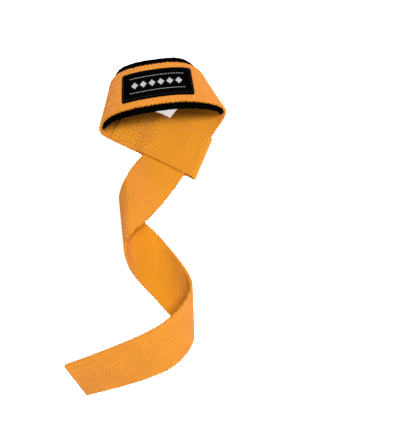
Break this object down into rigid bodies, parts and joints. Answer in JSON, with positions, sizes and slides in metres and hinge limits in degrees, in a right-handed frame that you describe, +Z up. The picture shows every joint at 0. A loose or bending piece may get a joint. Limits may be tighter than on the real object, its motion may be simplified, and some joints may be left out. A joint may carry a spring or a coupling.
{
  "type": "weightlifting strap",
  "caption": "Webbing lifting strap with a threaded wrist loop over a foam pad, a sewn patch and a long tail laid out in loose turns.",
  "frame": {"origin": "centre of the bounding box, on the surface that the strap lies on", "axes": "+Z up from the surface, +Y along the strap's long axis from the cut end towards the wrist loop, +X to the right of that"},
  "size_m": [0.1202, 0.2676, 0.0482],
  "materials": {
    "webbing": "orange woven cotton webbing",
    "foam": "black foam rubber with a knit face",
    "patch": "black woven patch"
  },
  "bodies": {
    "root": {"webbing_strap": "webbing", "wrist_pad": "foam", "label_patch": "patch"}
  },
  "joints": []
}
